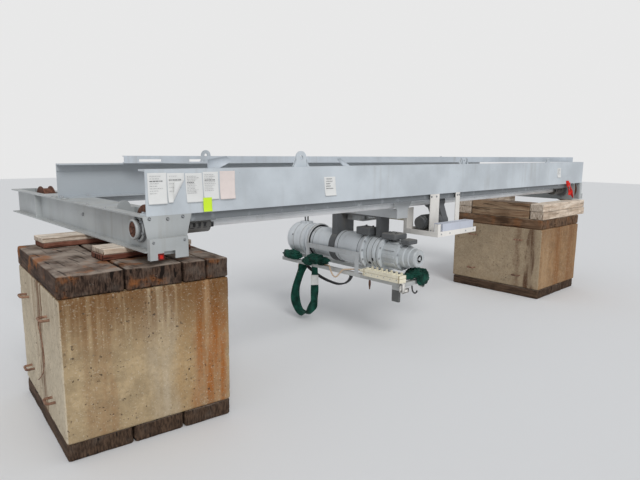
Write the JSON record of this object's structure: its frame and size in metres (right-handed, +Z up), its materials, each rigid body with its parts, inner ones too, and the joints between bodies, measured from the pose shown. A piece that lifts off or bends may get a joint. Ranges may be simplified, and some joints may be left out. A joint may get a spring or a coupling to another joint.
{
  "type": "double-girder overhead travelling crane",
  "caption": "Double-girder overhead travelling crane with end trucks, line-shaft drive and underslung rope hoist, stored on ballast blocks.",
  "frame": {"origin": "on the ground, under the middle of the whole, stand included", "axes": "+Z up, X along the girders with the hoist's side of the span towards -X, -Y is the line shaft's side"},
  "size_m": [8.6776, 3.94, 2.2578],
  "materials": {
    "girder_paint": "worn satin paint",
    "channel_paint": "worn satin paint",
    "truck_paint": "worn satin paint",
    "bearing_iron": "greasy, rust in the corners",
    "wheel_iron": "rusty",
    "shaft_steel": "worn satin paint",
    "platform_paint": "white paint",
    "box_paint": "satin paint",
    "motor_paint": "dusty dark paint",
    "trolley_paint": "worn satin paint",
    "hoist_paint": "satin paint",
    "pendant_plastic": "dirty plastic",
    "cord_rubber": "matte",
    "cable_rubber": "matte",
    "sling_fabric": "woven webbing",
    "concrete": "stained, pock-marked",
    "timber": "old creosoted timber",
    "packing_timber": "weathered",
    "rusty_bar": "rusty"
  },
  "bodies": {
    "crane_and_stand": {"near_girder": "girder_paint", "far_girder": "girder_paint", "loose_channel": "channel_paint", "left_end_truck": "truck_paint", "right_end_truck": "truck_paint", "left_rail_sweep": "truck_paint", "right_end_plate": "truck_paint", "left_drive_bearings": "bearing_iron", "right_drive_bearings": "bearing_iron", "left_idler_bearings": "bearing_iron", "right_idler_bearings": "bearing_iron", "drive_platform": "platform_paint", "control_box": "box_paint", "drive_motor": "motor_paint", "drive_gearbox": "motor_paint", "left_block": "concrete", "left_block_top": "timber", "left_block_base": "timber", "left_block_loops": "rusty_bar", "left_packing": "packing_timber", "right_block": "concrete", "right_block_top": "timber", "right_block_base": "timber", "right_block_loops": "rusty_bar", "right_packing": "packing_timber"},
    "trolley": {"trolley_frame": "trolley_paint", "hoist_saddle": "motor_paint", "hoist_drum_case": "hoist_paint", "hoist_end_cap": "hoist_paint", "hoist_gearcase": "hoist_paint", "hoist_motor": "hoist_paint", "hoist_tray": "trolley_paint", "cradle_frame": "trolley_paint", "pendant": "pendant_plastic", "pendant_cord": "cord_rubber", "lifting_sling": "sling_fabric", "sling_bundle": "sling_fabric", "black_cable": "cable_rubber"},
    "line_shaft": {"drive_shaft": "shaft_steel", "left_coupling": "shaft_steel", "right_coupling": "shaft_steel", "left_drive_wheel": "wheel_iron", "right_drive_wheel": "wheel_iron"},
    "left_idler": {"left_idler_wheel": "wheel_iron"},
    "right_idler": {"right_idler_wheel": "wheel_iron"}
  },
  "joints": [
    {"name": "line_shaft_turn", "type": "hinge", "parent": "crane_and_stand", "child": "line_shaft", "pos_m": [0.31381, -1.498, 1.6423], "axis": [1, 0, 0], "continuous": true},
    {"name": "left_idler_turn", "type": "hinge", "parent": "crane_and_stand", "child": "left_idler", "pos_m": [-3.48119, 1.2, 1.6423], "axis": [1, 0, 0], "continuous": true},
    {"name": "right_idler_turn", "type": "hinge", "parent": "crane_and_stand", "child": "right_idler", "pos_m": [4.10881, 1.2, 1.6423], "axis": [1, 0, 0], "continuous": true},
    {"name": "trolley_travel", "type": "slide", "parent": "crane_and_stand", "child": "trolley", "axis": [1, 0, 0], "range_m": [-2, 0.03]}
  ]
}
